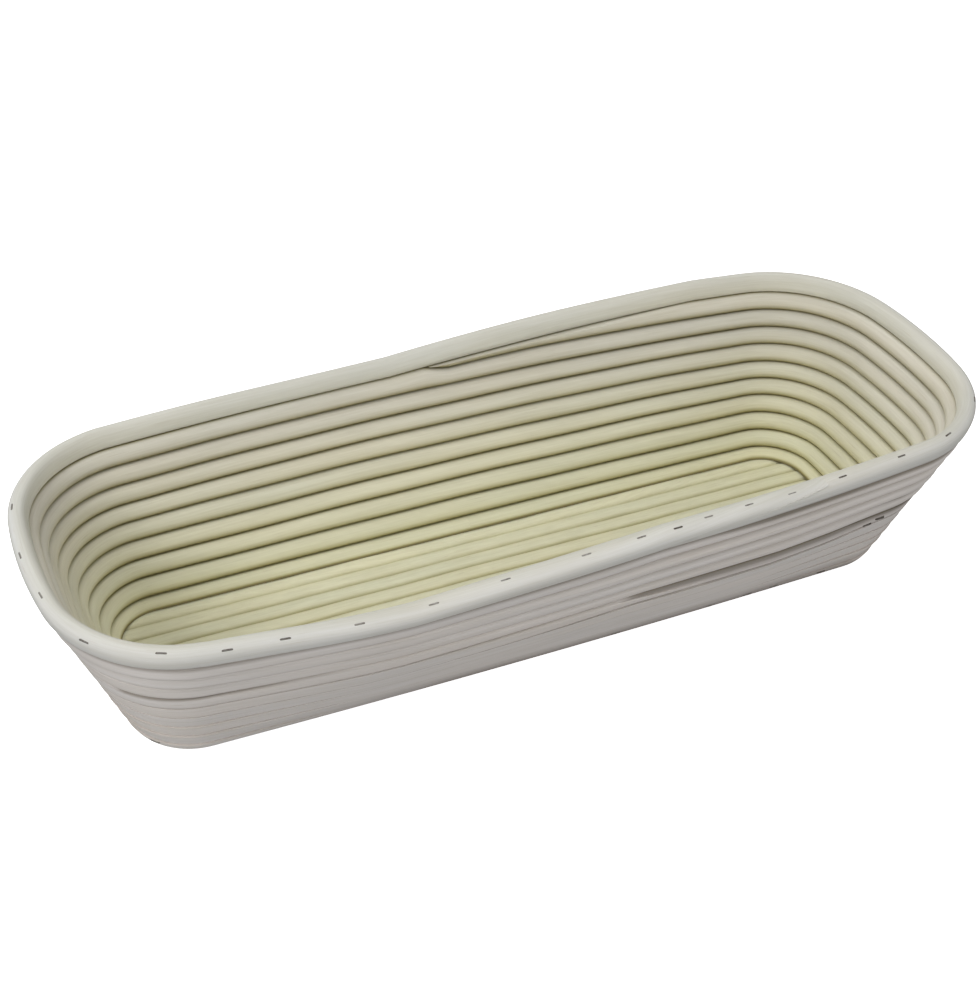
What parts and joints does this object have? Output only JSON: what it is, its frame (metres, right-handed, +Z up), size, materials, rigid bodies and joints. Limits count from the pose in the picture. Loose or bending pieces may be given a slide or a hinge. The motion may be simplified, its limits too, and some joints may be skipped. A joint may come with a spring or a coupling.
{
  "type": "proofing basket",
  "caption": "Long open basket of coiled rattan cane with flared walls, rounded corners and a flat cane floor, for shaping and proofing bread dough.",
  "frame": {"origin": "middle of the overall box, on the table that the basket stands on", "axes": "+X along the length towards the end where the wall is one course higher, +Y to the back wall, +Z up"},
  "size_m": [0.3922, 0.1638, 0.0849],
  "materials": {
    "floor_cane": "matt bare rattan, pale yellow-green",
    "wall_cane": "matt bare rattan, cream inside and sanded grey-beige outside",
    "rim_cane": "matt bare rattan, pale grey-white",
    "staple_wire": "dull staple wire"
  },
  "bodies": {
    "root": {"floor_cane_1": "floor_cane", "floor_cane_2": "floor_cane", "floor_cane_3": "floor_cane", "floor_cane_4": "floor_cane", "floor_cane_5": "floor_cane", "floor_cane_6": "floor_cane", "floor_cane_7": "floor_cane", "floor_cane_8": "floor_cane", "floor_cane_9": "floor_cane", "floor_cane_10": "floor_cane", "base_ring": "wall_cane", "lower_coil": "wall_cane", "upper_coil": "wall_cane", "rim_cane": "rim_cane", "rim_staples": "staple_wire", "base_staples": "staple_wire", "wall_staples": "staple_wire", "floor_staples": "staple_wire"}
  },
  "joints": []
}
